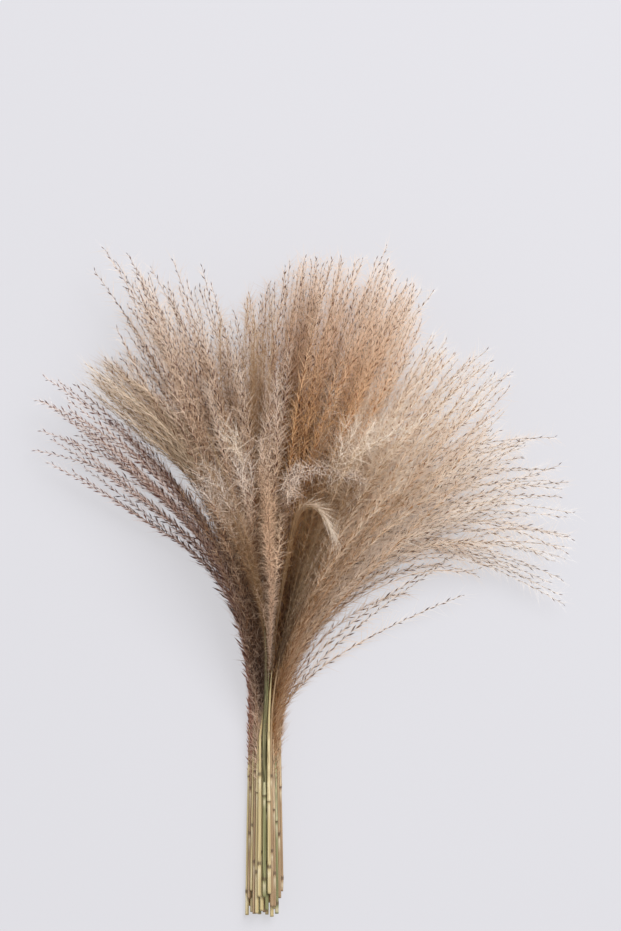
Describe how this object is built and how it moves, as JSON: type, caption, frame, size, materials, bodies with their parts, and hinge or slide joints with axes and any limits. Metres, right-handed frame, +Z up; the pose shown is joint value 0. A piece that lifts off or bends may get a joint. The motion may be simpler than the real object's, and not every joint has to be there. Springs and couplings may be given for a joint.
{
  "type": "bundle of dried reed",
  "caption": "Bundle of dried reed lying on its side, with bare cut stems close together and long silky seed plumes spread in a wide fan.",
  "frame": {"origin": "middle of the bundle's box, on the surface that it lies on", "axes": "+Z up, -Y towards the cut ends of the stems, +Y towards the tips of the plumes, +X to the right as seen from above with the tips at the top"},
  "size_m": [0.3358, 0.417, 0.1029],
  "materials": {
    "purple_brown_reed": "dry matt straw with dark purple-brown seeds and thin silky hairs",
    "dusky_buff_reed": "dry matt straw with brown seeds and grey-buff silky hairs",
    "buff_reed": "dry matt straw with brown seeds and dense buff silky hairs",
    "golden_reed": "dry matt straw with brown seeds and dense golden silky hairs",
    "pale_golden_reed": "dry matt straw with tan seeds and pale golden silky hairs",
    "pale_reed": "dry matt straw with tan seeds and thin pale hairs",
    "cream_reed": "dry matt straw with long cream silky hairs"
  },
  "bodies": {
    "root": {"reed_bottom_1": "purple_brown_reed", "reed_bottom_2": "buff_reed", "reed_bottom_3": "dusky_buff_reed", "reed_bottom_4": "golden_reed", "reed_bottom_5": "golden_reed", "reed_bottom_6": "pale_golden_reed", "reed_bottom_7": "pale_reed", "reed_lower_1": "purple_brown_reed", "reed_lower_2": "purple_brown_reed", "reed_lower_3": "dusky_buff_reed", "reed_lower_4": "dusky_buff_reed", "reed_lower_5": "golden_reed", "reed_lower_6": "pale_golden_reed", "reed_lower_7": "pale_reed", "reed_lower_8": "pale_reed", "reed_lower_middle_1": "purple_brown_reed", "reed_lower_middle_2": "buff_reed", "reed_lower_middle_3": "dusky_buff_reed", "reed_lower_middle_4": "golden_reed", "reed_lower_middle_5": "golden_reed", "reed_lower_middle_6": "pale_golden_reed", "reed_lower_middle_7": "pale_reed", "reed_middle_1": "purple_brown_reed", "reed_middle_2": "dusky_buff_reed", "reed_middle_3": "dusky_buff_reed", "reed_middle_4": "golden_reed", "reed_middle_5": "pale_golden_reed", "reed_middle_6": "pale_reed", "reed_upper_middle_1": "buff_reed", "reed_upper_middle_2": "dusky_buff_reed", "reed_upper_middle_3": "cream_reed", "reed_upper_middle_4": "golden_reed", "reed_upper_middle_5": "pale_golden_reed", "reed_upper_1": "dusky_buff_reed", "reed_upper_2": "dusky_buff_reed", "reed_upper_3": "dusky_buff_reed", "reed_upper_4": "cream_reed", "reed_top_1": "cream_reed", "reed_top_2": "dusky_buff_reed", "reed_top_3": "cream_reed"}
  },
  "joints": []
}
